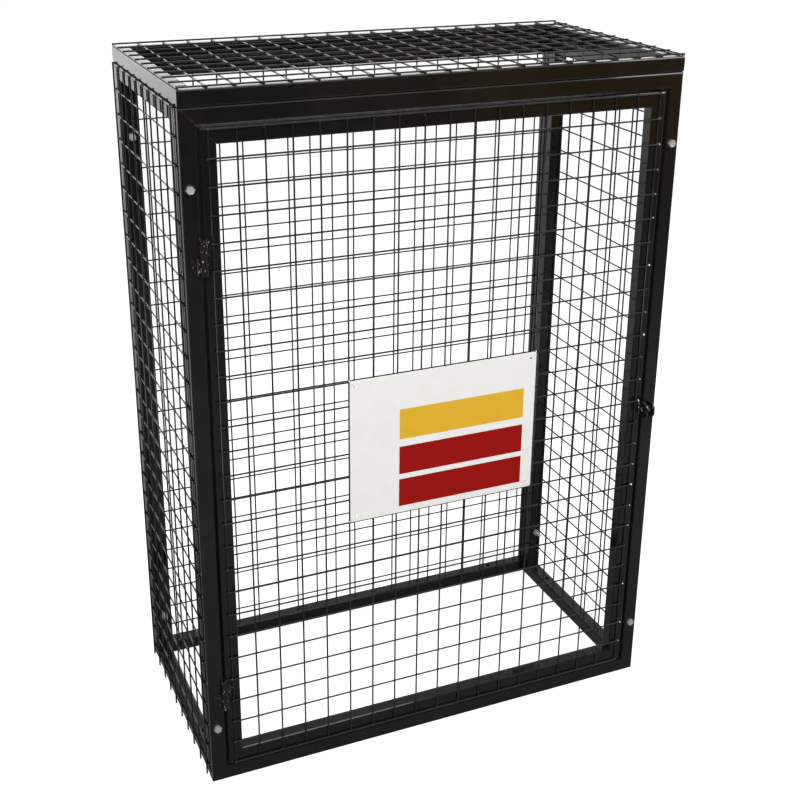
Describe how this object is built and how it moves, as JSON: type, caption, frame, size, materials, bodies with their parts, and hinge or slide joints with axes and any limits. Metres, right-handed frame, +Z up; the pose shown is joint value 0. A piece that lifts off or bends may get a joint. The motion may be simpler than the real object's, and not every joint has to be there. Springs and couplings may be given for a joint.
{
  "type": "gas cylinder cage",
  "caption": "Free-standing cage of square tube and welded wire mesh for gas cylinders, with a hinged front door, padlock tabs and a flat mesh lid.",
  "frame": {"origin": "on the floor, under the middle of the whole object's box", "axes": "+Z up, -Y towards the front where the door is, +X to the right seen from the front"},
  "size_m": [1.0114, 0.536, 1.411],
  "materials": {
    "tube_frame": "gloss black paint",
    "wire_mesh": "gloss black paint over wire",
    "hinge_steel": "black paint over weld beads, worn bright in places",
    "bright_steel": "bright zinc on bolts and pins",
    "sign_plate": "white plate with plain yellow and red blocks"
  },
  "bodies": {
    "cage": {"front_left_post": "tube_frame", "front_right_post": "tube_frame", "front_bottom_rail": "tube_frame", "front_top_rail": "tube_frame", "back_right_post": "tube_frame", "back_left_post": "tube_frame", "back_bottom_rail": "tube_frame", "back_top_rail": "tube_frame", "back_mesh": "wire_mesh", "left_back_post": "tube_frame", "left_front_post": "tube_frame", "left_bottom_rail": "tube_frame", "left_top_rail": "tube_frame", "left_mesh": "wire_mesh", "right_front_post": "tube_frame", "right_back_post": "tube_frame", "right_bottom_rail": "tube_frame", "right_top_rail": "tube_frame", "right_mesh": "wire_mesh", "lid_left_rail": "tube_frame", "lid_right_rail": "tube_frame", "lid_back_rail": "tube_frame", "lid_front_rail": "tube_frame", "lid_mesh": "wire_mesh", "hinge_lower_frame_half": "hinge_steel", "hinge_lower_pin": "bright_steel", "hinge_upper_frame_half": "hinge_steel", "hinge_upper_pin": "bright_steel", "padlock_tab_frame": "hinge_steel"},
    "door": {"door_hinge_stile": "tube_frame", "door_latch_stile": "tube_frame", "door_bottom_rail": "tube_frame", "door_top_rail": "tube_frame", "door_mesh": "wire_mesh", "hinge_lower_door_half": "hinge_steel", "hinge_upper_door_half": "hinge_steel", "padlock_tab_door": "hinge_steel", "sign_plate": "sign_plate"}
  },
  "joints": [
    {"name": "door_hinge", "type": "hinge", "parent": "cage", "child": "door", "pos_m": [-0.4675, -0.245, 0.6875], "axis": [0, 0, -1], "range_deg": [0, 170]}
  ]
}
